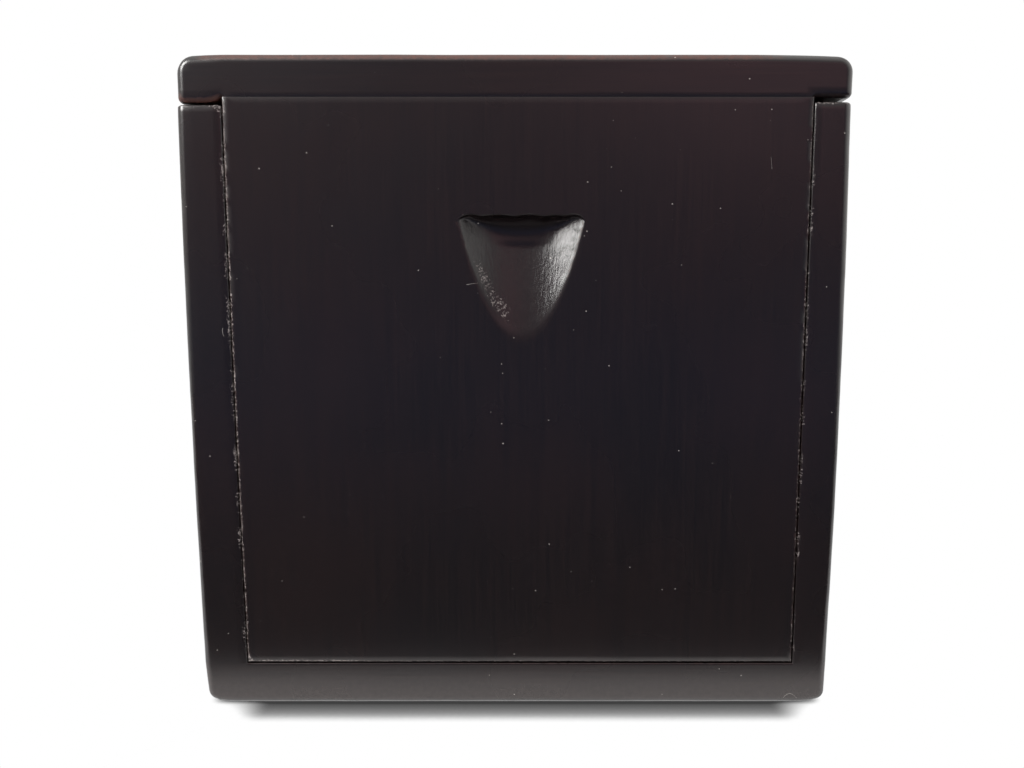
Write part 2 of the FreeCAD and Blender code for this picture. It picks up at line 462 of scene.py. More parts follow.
def edge_wear(mesh):
    """How much each point is rubbed: 0 on flat faces, 1 on the middle of a rounded edge."""
    wear = [0.0] * len(mesh.vertices)
    for face in mesh.polygons:
        tilt = min((1 - max(abs(part) for part in face.normal)) / 0.2, 1)
        for index in face.vertices:
            wear[index] = max(wear[index], tilt)
    return wear


def rub_edges(piece):
    """Wears the rounded edges unevenly, but not where two boards meet closely."""
    least = 0.2
    weights = {}
    for index, wear in enumerate(edge_wear(piece.data)):
        place = piece.data.vertices[index].co
        apart = abs(place.z - foot_high.z)
        hairline = (
            abs(place.z - top_low.z) < 0.15 * MM and left_high.x < place.x < right_low.x)
        if wear > least and apart > 0.05 * MM and not hairline:
            weights[index] = (wear - least) / (1 - least) * min(apart / (2 * MM), 1)
    crumbs = cloud_texture("rubbed edges", 2.2 * MM, 3)
    shift_surface(piece, "NORMAL", -RUBBED, crumbs, weights)


def draw_over(piece, direction, reach, shift):
    """Moves points along a direction, each by a distance worked out from its place.

    No point moves further than the reach, which has the sign of the distances.
    """
    weights = {}
    for point in piece.data.vertices:
        share = shift(point.co) / reach
        if share > 0:
            weights[point.index] = min(share, 1)
    if weights:
        shift_surface(piece, direction, reach, None, weights)


def bow_sides(piece, sizes):
    """Draws the outsides of the side boards in, from the widest place up and down."""
    def bow_at(p, bow, height):
        return bow * ((p.z - height) / height) ** 2

    def faded(inward):
        """1 through the rounded corner, and down to 0 at twice its radius."""
        return held(2 - inward / sizes.corner_radius)

    def left_shift(p):
        bow = bow_at(p, sizes.left_bow, sizes.left_bow_height)
        rubbed = sizes.foot_wear * max(1 - p.z / sizes.foot_wear_height, 0) ** 1.5
        return (bow + rubbed) * faded(p.x - cad_low.x)

    def right_shift(p):
        return -bow_at(p, sizes.right_bow, sizes.right_bow_height) * faded(cad_high.x - p.x)

    draw_over(piece, "X", 1.5 * MM, left_shift)
    draw_over(piece, "X", -1.5 * MM, right_shift)


def taper_seam(piece, sizes, edge_x, inside):
    """Leans the front of the left seam, which runs inward toward the foot."""
    height = top_low.z - foot_high.z

    def shift(p):
        if not inside(p):
            return 0.0
        lean = sizes.seam_taper * ((top_low.z - p.z) / height) ** 2
        return lean * held(1.2 - abs(p.x - edge_x) / (3 * MM))

    draw_over(piece, "X", 1.0 * MM, shift)


# Materials


GRAINS = {ACROSS: "across", DEEP: "deep", UPRIGHT: "upright"}


def add_node(tree, kind, inputs=None, **settings):
    """Adds a node, sets its settings, and fills its inputs or links them to earlier nodes."""
    node = tree.nodes.new(kind)
    for name, value in settings.items():
        setattr(node, name, value)
    for name, value in (inputs or {}).items():
        if isinstance(value, bpy.types.Node):
            value = next(socket for socket in value.outputs if socket.enabled)
        if isinstance(value, bpy.types.NodeSocket):
            tree.links.new(value, node.inputs[name])
        else:
            node.inputs[name].default_value = value
    return node


def new_material(name):
    """An empty material, its nodes, and the place on the piece that its patterns start from."""
    material = bpy.data.materials.new(name)
    material.use_nodes = True
    tree = material.node_tree
    tree.nodes.clear()
    return material, tree, add_node(tree, "ShaderNodeTexCoord").outputs["Object"]


def grain_scale(axis, across, length):
    """Mapping scale for a pattern that is stretched along one axis, from its real sizes."""
    scale = [1 / across] * 3
    scale[axis] = 1 / length
    return scale


def brushed_lacquer(name, axis):
    """Brown-black lacquer brushed over close-grained wood and rubbed down.

    It gives a satin skin that mirrors the room softly, faint grain lines that show through the
    coat, a reddish brown where edges are rubbed thin (on the top board's left underside also
    painted light), grey that grows toward the table on the foot's front, light crumbs of bare
    lacquer that are also painted highlights along sharp edges and painted glints in the thumb
    notch, specks of dust, and a wetter, streaked gloss in the thumb notch.
    """
    colours = bpy.context.scene.box_colours
    material, tree, place = new_material(name)
    grain_place = add_node(tree, "ShaderNodeMapping", {
        "Vector": place, "Scale": grain_scale(axis, 0.4 * MM, 18 * MM)})
    grain = add_node(tree, "ShaderNodeTexNoise", {
        "Vector": grain_place, "Scale": 1, "Detail": 3, "Roughness": 0.6})
    cloud = add_node(tree, "ShaderNodeTexNoise", {
        "Vector": place, "Scale": 1 / (26 * MM), "Detail": 2, "Roughness": 0.5})
    speckle = add_node(tree, "ShaderNodeTexNoise", {
        "Vector": place, "Scale": 1 / (0.9 * MM), "Detail": 4, "Roughness": 0.65})
    wear = add_node(tree, "ShaderNodeAttribute", attribute_name="wear").outputs["Fac"]
    hollow = add_node(tree, "ShaderNodeAttribute", attribute_name="hollow").outputs["Fac"]
    chip_and_painted_glint = add_node(tree, "ShaderNodeAttribute", attribute_name="chip_and_painted_glint").outputs["Fac"]
    greyer_toward_table = add_node(tree, "ShaderNodeAttribute", attribute_name="greyer_toward_table").outputs["Fac"]

    figure = add_node(tree, "ShaderNodeMix", {
        "Factor": 0.5, "A": cloud, "B": grain}, data_type="FLOAT")
    tone = add_node(tree, "ShaderNodeMapRange", {
        "Value": figure, "From Min": 0.38, "From Max": 0.62})
    body = add_node(tree, "ShaderNodeMix", {
        "Factor": tone, "A": colours.lacquer, "B": colours.lacquer_warm}, data_type="RGBA")
    rubbed = add_node(tree, "ShaderNodeMath", {0: wear, 1: speckle}, operation="MULTIPLY")
    rubbed_share = add_node(tree, "ShaderNodeMapRange", {
        "Value": rubbed, "From Min": 0.15, "From Max": 0.6})
    edged = add_node(tree, "ShaderNodeMix", {
        "Factor": rubbed_share, "A": body, "B": colours.worn_edge_and_painted_light}, data_type="RGBA")
    # Light crumbs of bare lacquer on sharp edges, which are also painted highlights on those edges
    # and painted glints in the thumb notch
    grit = add_node(tree, "ShaderNodeTexNoise", {
        "Vector": place, "Scale": 1 / (0.36 * MM), "Detail": 2, "Roughness": 0.6})
    chip_and_glint_amount = add_node(tree, "ShaderNodeMath", {0: chip_and_painted_glint, 1: grit}, operation="MULTIPLY")
    crumbs = add_node(tree, "ShaderNodeMapRange", {
        "Value": chip_and_glint_amount, "From Min": 0.37, "From Max": 0.5})
    chips_and_painted_highlights = add_node(tree, "ShaderNodeMix", {
        "Factor": crumbs, "A": edged, "B": colours.chips_and_painted_highlights}, data_type="RGBA")
    # Grey mixed into the front of the foot, most at the table, mottled by the speckle
    marks = add_node(tree, "ShaderNodeMath", {0: greyer_toward_table, 1: speckle}, operation="MULTIPLY")
    marked = add_node(tree, "ShaderNodeMix", {
        "Factor": marks, "A": chips_and_painted_highlights, "B": colours.grey_toward_table}, data_type="RGBA")

    # Dust lies in cells 2 mm wide, each with one grain of up to 0.12 mm radius at its middle
    grains = add_node(tree, "ShaderNodeTexVoronoi", {
        "Vector": place, "Scale": 1 / (2 * MM), "Detail": 0})
    kinds = add_node(tree, "ShaderNodeSeparateColor", {0: grains.outputs["Color"]})
    size = add_node(tree, "ShaderNodeMapRange", {
        "Value": kinds, "From Min": 0.3, "From Max": 1.0, "To Max": 0.06})
    speck = add_node(tree, "ShaderNodeMath", {
        0: grains.outputs["Distance"], 1: size}, operation="LESS_THAN")
    bright = add_node(tree, "ShaderNodeMath", {
        0: speck, 1: kinds.outputs["Green"]}, operation="MULTIPLY")
    # Hairs lie in a few cells 7 mm wide, along a line of a soft noise, drawn 0.06 mm thick
    patches = add_node(tree, "ShaderNodeTexVoronoi", {
        "Vector": place, "Scale": 1 / (7 * MM), "Detail": 0})
    chosen = add_node(tree, "ShaderNodeSeparateColor", {0: patches.outputs["Color"]})
    some = add_node(tree, "ShaderNodeMapRange", {
        "Value": chosen, "From Min": 0.94, "From Max": 0.95, "To Max": 0.2})
    near_middle = add_node(tree, "ShaderNodeMath", {
        0: patches.outputs["Distance"], 1: some}, operation="LESS_THAN")
    curl = add_node(tree, "ShaderNodeTexNoise", {
        "Vector": place, "Scale": 1 / (4 * MM), "Detail": 0})
    line = add_node(tree, "ShaderNodeMath", {0: curl, 1: 0.5, 2: 0.006}, operation="COMPARE")
    hair = add_node(tree, "ShaderNodeMath", {0: near_middle, 1: line}, operation="MULTIPLY")
    faint = add_node(tree, "ShaderNodeMath", {0: hair, 1: 0.35}, operation="MULTIPLY")
    settled = add_node(tree, "ShaderNodeMath", {0: bright, 1: faint}, operation="MAXIMUM")
    skin = add_node(tree, "ShaderNodeMix", {
        "Factor": settled, "A": marked, "B": colours.dust}, data_type="RGBA")

    gloss = add_node(tree, "ShaderNodeMapRange", {
        "Value": cloud, "From Min": 0.3, "From Max": 0.7, "To Min": 0.3, "To Max": 0.25})
    wetter = add_node(tree, "ShaderNodeMix", {
        "Factor": hollow, "A": gloss, "B": 0.26}, data_type="FLOAT")
    roughness = add_node(tree, "ShaderNodeMix", {
        "Factor": rubbed_share, "A": wetter, "B": 0.6}, data_type="FLOAT")

    grain_bump = add_node(tree, "ShaderNodeBump", {
        "Height": grain, "Strength": 0.5, "Distance": 0.02 * MM})
    skin_bump = add_node(tree, "ShaderNodeBump", {
        "Height": speckle, "Strength": 0.3, "Distance": 0.012 * MM, "Normal": grain_bump})
    streak_place = add_node(tree, "ShaderNodeMapping", {
        "Vector": place, "Scale": grain_scale(UPRIGHT, 0.45 * MM, 2.2 * MM)})
    streaks = add_node(tree, "ShaderNodeTexNoise", {
        "Vector": streak_place, "Scale": 1, "Detail": 4, "Roughness": 0.65})
    streak_bump = add_node(tree, "ShaderNodeBump", {
        "Strength": hollow, "Height": streaks, "Distance": 0.07 * MM, "Normal": skin_bump})
    shader = add_node(tree, "ShaderNodeBsdfPrincipled", {
        "Base Color": skin, "Roughness": roughness, "IOR": 1.53, "Normal": streak_bump})
    add_node(tree, "ShaderNodeOutputMaterial", {"Surface": shader})
    return material


def wiped_wood(name, axis):
    """Close-grained wood wiped once with thin lacquer: matt, brown, with open grain lines."""
    colours = bpy.context.scene.box_colours
    material, tree, place = new_material(name)
    grain_place = add_node(tree, "ShaderNodeMapping", {
        "Vector": place, "Scale": grain_scale(axis, 0.7 * MM, 24 * MM)})
    grain = add_node(tree, "ShaderNodeTexNoise", {
        "Vector": grain_place, "Scale": 1, "Detail": 4, "Roughness": 0.65})
    band_place = add_node(tree, "ShaderNodeMapping", {
        "Vector": place, "Scale": grain_scale(axis, 5 * MM, 120 * MM)})
    band = add_node(tree, "ShaderNodeTexNoise", {
        "Vector": band_place, "Scale": 1, "Detail": 2, "Roughness": 0.5})
    figure = add_node(tree, "ShaderNodeMix", {
        "Factor": 0.5, "A": grain, "B": band}, data_type="FLOAT")
    tone = add_node(tree, "ShaderNodeMapRange", {
        "Value": figure, "From Min": 0.35, "From Max": 0.65})
    skin = add_node(tree, "ShaderNodeMix", {
        "Factor": tone, "A": colours.inside_dark, "B": colours.inside}, data_type="RGBA")
    bump = add_node(tree, "ShaderNodeBump", {
        "Height": grain, "Strength": 0.5, "Distance": 0.04 * MM})
    shader = add_node(tree, "ShaderNodeBsdfPrincipled", {
        "Base Color": skin, "Roughness": 0.62, "IOR": 1.5, "Normal": bump})
    add_node(tree, "ShaderNodeOutputMaterial", {"Surface": shader})
    return material


def lacquered_hardwood(name):
    """Hard wooden pegs whose ends are lacquered over: a little redder than the boards."""
    colours = bpy.context.scene.box_colours
    material, tree, place = new_material(name)
    fibre = add_node(tree, "ShaderNodeTexNoise", {
        "Vector": place, "Scale": 1 / (0.3 * MM), "Detail": 3, "Roughness": 0.6})
    tone = add_node(tree, "ShaderNodeMapRange", {
        "Value": fibre, "From Min": 0.35, "From Max": 0.65})
    skin = add_node(tree, "ShaderNodeMix", {
        "Factor": tone, "A": colours.lacquer, "B": colours.peg}, data_type="RGBA")
    bump = add_node(tree, "ShaderNodeBump", {
        "Height": fibre, "Strength": 0.4, "Distance": 0.03 * MM})
    shader = add_node(tree, "ShaderNodeBsdfPrincipled", {
        "Base Color": skin, "Roughness": 0.45, "IOR": 1.53, "Normal": bump})
    add_node(tree, "ShaderNodeOutputMaterial", {"Surface": shader})
    return material


def finish_materials(axis):
    """The lacquered outside and the wiped inside for boards with that grain."""
    outside = bpy.data.materials.get("brushed_lacquer_" + GRAINS[axis])
    inside = bpy.data.materials.get("wiped_wood_" + GRAINS[axis])
    if outside is None:
        outside = brushed_lacquer("brushed_lacquer_" + GRAINS[axis], axis)
        inside = wiped_wood("wiped_wood_" + GRAINS[axis], axis)
    return outside, inside


def inside_case(centre):
    """True for a point on the inner walls, in the grooves or on the tongues."""
    skin = 2 * MM
    return (
        left_high.x + 0.1 * MM > centre.x > left_low.x + skin
        or right_high.x - skin > centre.x > right_low.x - 0.1 * MM
        or left_high.x < centre.x < right_low.x
    ) and back_high.y - skin > centre.y > front_y + skin and (
        top_high.z - skin > centre.z > foot_low.z + skin
    )


def nothing(point):
    return 0.0


def finish_board(piece, axis, node, body, hollow=nothing, rim=nothing, greyer_toward_table=nothing,
                 rubbed=lambda p: 0.4, chips_and_painted_highlights=nothing, painted_glints_and_chips=nothing):
    """Gives a shaped board its wear, its materials and its place in the frame.

    The functions say of a point how far it is in the notch, on the notch's rim or greyed toward
    the table, how much an edge there is rubbed (on the top board's left underside this is also
    painted light), how much it has light crumbs that are chips and also painted highlights, and
    where the notch has painted glints and chips of its own.
    """
    mesh = piece.data
    marks = {"wear": [], "hollow": [], "greyer_toward_table": [], "chip_and_painted_glint": []}
    for point, wear in zip(mesh.vertices, edge_wear(mesh)):
        place = point.co
        deep = hollow(place)
        marks["hollow"].append(deep)
        marks["greyer_toward_table"].append(greyer_toward_table(place))
        marks["wear"].append(max(wear * rubbed(place) * (1 - deep), rim(place)))
        sharp = max(2 * wear - 1, 0)
        marks["chip_and_painted_glint"].append(max(sharp * chips_and_painted_highlights(place) * (1 - deep), painted_glints_and_chips(place)))
    for kind, shares in marks.items():
        mesh.attributes.new(kind, "FLOAT", "POINT").data.foreach_set("value", shares)
    mesh.materials.clear()
    for material in finish_materials(axis):
        mesh.materials.append(material)
    for face in mesh.polygons:
        face.material_index = int(inside_case(face.center) and not hollow(face.center))
    make_active(piece)
    bpy.ops.object.shade_smooth()
    start_editing(piece, "EDGE")
    bpy.ops.mesh.edges_select_sharp(sharpness=math.radians(40))
    bpy.ops.mesh.mark_sharp()
    stop_editing()
    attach(piece, body)
    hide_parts(node)


# Shapes that several boards share


def tongue_front():
    return panel_high.y - bpy.context.scene.box_lid.tongue_thickness


def groove_front():
    return tongue_front() - bpy.context.scene.box_lid.face_clearance


def groove_cutter(low_x, high_x, low_z, high_z, sizes):
    """The slot that the panel's tongues run in, at the depth of the panel's back."""
    back = panel_high.y + sizes.face_clearance
    return block("groove", (low_x, groove_front(), low_z), (high_x, back, high_z))


def finger_levels(count):
    """Bottom and top of each finger, from the bottom board up."""
    height = (back_high.z - foot_high.z) / count
    return [(foot_high.z + height * i, foot_high.z + height * (i + 1)) for i in range(count)]


def finger_cutter(on_right, low_z, high_z):
    """The corner block that one finger leaves to the other board."""
    if on_right:
        low_x, high_x = right_low.x, cad_high.x + PAST
    else:
        low_x, high_x = cad_low.x - PAST, left_high.x
    return block("finger", (low_x, back_low.y, low_z), (high_x, back_y + PAST, high_z))


def soft_lesser(a, b, softness):
    """The lesser of two depths, with a round where they meet."""
    near = max(softness - abs(a - b), 0)
    return min(a, b) - near ** 2 / (4 * softness)


def notch_shape(notch, face_foot):
    """The thumb notch as two functions of a place on the panel's face, and its main places.

    The first gives the depth, and the second the height of the upper edge. Both take the
    distance from the notch's middle.
    """
    tip_z = face_foot + notch.tip_height
    head_z = tip_z + notch.height
    half_width = math.sqrt(notch.radius ** 2 - (notch.radius - notch.depth) ** 2)
    slope = notch.depth / notch.height
    lean = math.atan(slope)
    cove_start = notch.depth - notch.cove_radius * (slope + 1 / math.cos(lean))
    # How fast the roof draws back below the cove, and how far the rim stops short of the face
    opening = 0.3 / MM
    trace = 0.004 * MM

    def line_at(x):
        """The upper edge as it was drawn: level, and rounded down at both corners."""
        past = min(max(abs(x) - half_width + notch.corner_radius, 0), notch.corner_radius)
        return head_z - notch.corner_radius + math.sqrt(notch.corner_radius ** 2 - past ** 2)

    def wander_at(x):
        return notch.unevenness * noise.noise(Vector((x / (2.5 * MM), 0, 0)))

    def head_at(x):
        """The upper edge as it was cut, which wanders a little."""
        return line_at(x) + wander_at(x)

    def depth_at(x, z):
        """The floor is a leaning round, and a cove runs down to it from the upper edge."""
        side = math.sqrt(notch.radius ** 2 - min(abs(x), notch.radius) ** 2)
        floor = (z - tip_z) * slope - (notch.radius - side) / math.cos(lean)
        below = line_at(x) - z
        below += wander_at(x) * held(1 - below / MM)
        if below < 0:
            roof = notch.rim_radius + 2 * max(below, -notch.rim_radius)
        elif below < notch.cove_radius:
            roof = cove_start + math.sqrt(
                notch.cove_radius ** 2 - (notch.cove_radius - below) ** 2)
            roof = max(roof, notch.rim_radius)
        else:
            roof = cove_start + notch.cove_radius + opening * (below - notch.cove_radius) ** 2
        hollow = soft_lesser(floor, roof, notch.softness)
        # The rim runs out into the face, a trace in front of it so that the cut ends cleanly
        return -soft_lesser(-hollow, 0, notch.rim_radius) - trace

    places = {
        "tip_z": tip_z, "middle_x": (left_high.x + right_low.x) / 2 + notch.offset,
        "half_width": half_width}
    return depth_at, head_at, places


class BOX_OT_bottom_board(bpy.types.Operator):
    """Bottom board with rounded feet and the groove for the panel's lower tongue"""

    bl_idname = "box.bottom_board"
    bl_label = "Bottom Board"

    def execute(self, context):
        sizes = context.scene.box_case
        lid = context.scene.box_lid
        low, high = (cad_low.x, front_y, 0), (cad_high.x, back_y, foot_high.z)
        piece = block("lacquered_bottom_board", low, high)
        round_edges(piece, sizes.corner_radius, 8, lambda a, b: (
            along(UPRIGHT, a, b) or both_at(UPRIGHT, 0, a, b)))
        rail_low = left_high.x + sizes.seam_taper
        slice_across(piece, ACROSS, (rail_low, right_low.x))
        round_edges(piece, sizes.arris_radius * 0.8, 3, lambda a, b: (
            both_at(DEEP, front_y, a, b) and both_at(UPRIGHT, foot_high.z, a, b)
            and rail_low < (a.x + b.x) / 2 < right_low.x))
        combine(piece, groove_cutter(
            panel_low.x - lid.end_clearance, panel_high.x + lid.end_clearance,
            panel_low.z, foot_high.z + PAST, lid), "DIFFERENCE")
        for pegs in ("left_bottom_pegs", "right_bottom_pegs", "back_bottom_pegs"):
            bore_for(piece, pegs)
        corner = sizes.corner_radius
        slice_beside(piece, ACROSS, low, high, corner, corner)
        slice_beside(piece, DEEP, low, high, corner, corner)
        slice_beside(piece, UPRIGHT, low, high, corner, sizes.arris_radius)
        slice_evenly(piece, low, high, (
            (ACROSS, 1.6 * MM), (DEEP, 3 * MM), (UPRIGHT, 1.3 * MM)))
        draw_over(piece, "Z", MM, lambda p: self.lift(p, sizes))
        bow_sides(piece, sizes)
        plane_by_hand(piece, sizes)
        rub_edges(piece)
        # The foot's front gets grey that grows toward the table
        finish_board(
            piece, ACROSS, "bottom_board", "case",
            greyer_toward_table=lambda p: max(1 - p.z / foot_high.z, 0) if p.y < front_y + MM else 0.0,
            rubbed=lambda p: 0.4 if p.z > 2 * MM else 0.1)
        return {"FINISHED"}

    def lift(self, p, sizes):
        """How far a point rises where the underside is rubbed away toward both ends."""
        inward = min(p.x - cad_low.x, cad_high.x - p.x)
        share = max(1 - inward / sizes.foot_lift_length, 0)
        return sizes.foot_lift * share ** 2 * max(1 - p.z / foot_high.z, 0)


class BOX_OT_side_boards(bpy.types.Operator):
    """Both side boards, each with its groove and its share of the rear finger joint"""

    bl_idname = "box.side_boards"
    bl_label = "Side Boards"

    def execute(self, context):
        sizes = context.scene.box_case
        lid = context.scene.box_lid
        for side, on_right in (("left", False), ("right", True)):
            inner = right_low.x if on_right else left_high.x
            outer = cad_high.x if on_right else cad_low.x
            top = right_high.z if on_right else left_high.z
            low = (min(inner, outer), front_y, foot_high.z)
            high = (max(inner, outer), back_y, top)
            piece = block(f"lacquered_{side}_side_board", low, high)
            round_edges(piece, sizes.corner_radius, 8, lambda a, b: (
                along(UPRIGHT, a, b) and close_to(a.x, outer)))
            round_edges(piece, sizes.arris_radius, 4, lambda a, b: (
                both_at(UPRIGHT, top, a, b)
                or along(UPRIGHT, a, b) and close_to(a.x, inner) and close_to(a.y, front_y)))
            reach = lid.end_clearance
            groove_x = panel_high.x + reach if on_right else panel_low.x - reach
            mouth_x = inner - PAST if on_right else inner + PAST
            combine(piece, groove_cutter(
                min(groove_x, mouth_x), max(groove_x, mouth_x),
                foot_high.z - PAST, top + PAST, lid), "DIFFERENCE")
            for low_z, high_z in finger_levels(sizes.finger_count)[1::2]:
                combine(piece, finger_cutter(on_right, low_z, high_z), "DIFFERENCE")
            bore_for(piece, side + "_bottom_pegs")
            bore_for(piece, side + "_corner_pegs")
            radii = [sizes.corner_radius, sizes.arris_radius]
            if on_right:
                radii.reverse()
            slice_beside(piece, ACROSS, low, high, *radii)
            slice_beside(piece, DEEP, low, high, sizes.corner_radius, sizes.corner_radius)
            slice_across(piece, UPRIGHT, [top - sizes.arris_radius - HOLD])
            slice_evenly(piece, low, high, (
                (UPRIGHT, 1.2 * MM), (DEEP, 3 * MM), (ACROSS, 1.6 * MM)))
            bow_sides(piece, sizes)
            if not on_right:
                taper_seam(piece, sizes, inner, lambda p: p.y < groove_front() - 0.01 * MM)
            plane_by_hand(piece, sizes)
            rub_edges(piece)
            # Light crumbs on the seam edges and the stile tops: chips that are also painted
            # highlights on those edges
            share = 0.72 if on_right else 0.8
            finish_board(
                piece, DEEP, side + "_side_board", "case", rubbed=lambda p: 0.28,
                chips_and_painted_highlights=lambda p: share if (
                    abs(p.x - inner) < MM and p.y < front_y + MM or p.z > top - MM) else 0.0)
        return {"FINISHED"}


class BOX_OT_back_board(bpy.types.Operator):
    """Back board with its fingers out to both corners"""

    bl_idname = "box.back_board"
    bl_label = "Back Board"

    def execute(self, context):
        sizes = context.scene.box_case
        low, high = (cad_low.x, back_low.y, foot_high.z), (cad_high.x, back_y, back_high.z)
        piece = block("lacquered_back_board", low, high)
        round_edges(piece, sizes.corner_radius, 8, lambda a, b: (
            along(UPRIGHT, a, b) and close_to(a.y, back_y)))
        for on_right in (False, True):
            for low_z, high_z in finger_levels(sizes.finger_count)[0::2]:
                past_low = PAST if close_to(low_z, foot_high.z) else 0
                past_high = PAST if close_to(high_z, back_high.z) else 0
                combine(piece, finger_cutter(
                    on_right, low_z - past_low, high_z + past_high), "DIFFERENCE")
        for pegs in ("back_bottom_pegs", "left_corner_pegs", "right_corner_pegs"):
            bore_for(piece, pegs)
        slice_evenly(piece, low, high, ((UPRIGHT, 2.4 * MM), (ACROSS, 3 * MM)))
        bow_sides(piece, sizes)
        plane_by_hand(piece, sizes)
        finish_board(piece, ACROSS, "back_board", "case")
        return {"FINISHED"}


class BOX_OT_top_board(bpy.types.Operator):
    """Top board of the lid, with the housing for the panel's upper tongue"""

    bl_idname = "box.top_board"
    bl_label = "Top Board"

    def execute(self, context):
        sizes = context.scene.box_case
        lid = context.scene.box_lid
        low, high = (top_low.x, front_y, top_low.z), (top_high.x, back_y, top_high.z)
        piece = block("lacquered_top_board", low, high)
        round_edges(piece, lid.end_radius, 8, lambda a, b: (
            along(DEEP, a, b) and close_to(a.z, top_high.z)))
        round_edges(piece, sizes.corner_radius, 8, lambda a, b: (
            close_to(a.y, b.y) and not both_at(UPRIGHT, top_low.z, a, b)))
        slice_across(piece, ACROSS, (left_high.x, right_low.x))
        round_edges(piece, lid.underside_radius, 4, lambda a, b: (
            both_at(UPRIGHT, top_low.z, a, b)
            and not (along(DEEP, a, b) and left_low.x + 3 * MM < a.x < right_high.x - 3 * MM)
            and not (both_at(DEEP, front_y, a, b)
                     and left_high.x - MM < (a.x + b.x) / 2 < right_low.x + MM)))
        round_edges(piece, lid.hairline, 2, lambda a, b: (
            both_at(UPRIGHT, top_low.z, a, b) and both_at(DEEP, front_y, a, b)))
        combine(piece, block(
            "housing", (panel_low.x, tongue_front(), top_low.z - PAST), panel_high), "DIFFERENCE")
        bore_for(piece, "lid_pegs")
        corner = sizes.corner_radius
        slice_beside(piece, ACROSS, low, high, lid.end_radius, lid.end_radius)
        slice_beside(piece, DEEP, low, high, corner, corner)
        slice_beside(piece, UPRIGHT, low, high, lid.underside_radius, corner)
        slice_beside(piece, UPRIGHT, low, high, lid.hairline, lid.end_radius)
        slice_evenly(piece, low, high, (
            (ACROSS, 1.6 * MM), (DEEP, 3 * MM), (UPRIGHT, 1.8 * MM)))
        draw_over(piece, "Z", -MM, lambda p: self.droop(p, lid))
        plane_by_hand(piece, sizes)
        rub_edges(piece)
        finish_board(piece, ACROSS, "top_board", "lid", rubbed=self.rubbed)
        return {"FINISHED"}

    def droop(self, p, lid):
        """How far a point sinks where the upper side is rubbed down toward both ends."""
        right = max((p.x - top_high.x) / lid.right_droop_length + 1, 0)
        left = max((top_low.x - p.x) / lid.left_droop_length + 1, 0)
        height = (p.z - top_low.z) / (top_high.z - top_low.z)
        hang = soft_step(left_high.x - 0.2 * MM, left_high.x - 1.5 * MM, p.x) * (1 - height)
        return -(
            (lid.right_droop * right ** 2 + lid.left_droop * left ** 2) * height
            + lid.left_drop * hang)

    def rubbed(self, p):
        """The upper edge is rubbed most, except near its ends, and below it the left end. The full
        worn colour on the left end's rounded underside is also painted light, where the gap over the
        left stile lies in shade.
        """
        if p.z < top_low.z + MM:
            # Painted light: the left end's underside gets full worn colour where the gap lies in
            # shade
            return 1.0 if p.x < left_high.x else 0.35
        left = soft_step(top_low.x + 2 * MM, top_low.x + 6 * MM, p.x)
        right = soft_step(top_high.x - 8 * MM, top_high.x - 18 * MM, p.x)
        return 0.12 + 0.88 * left * right


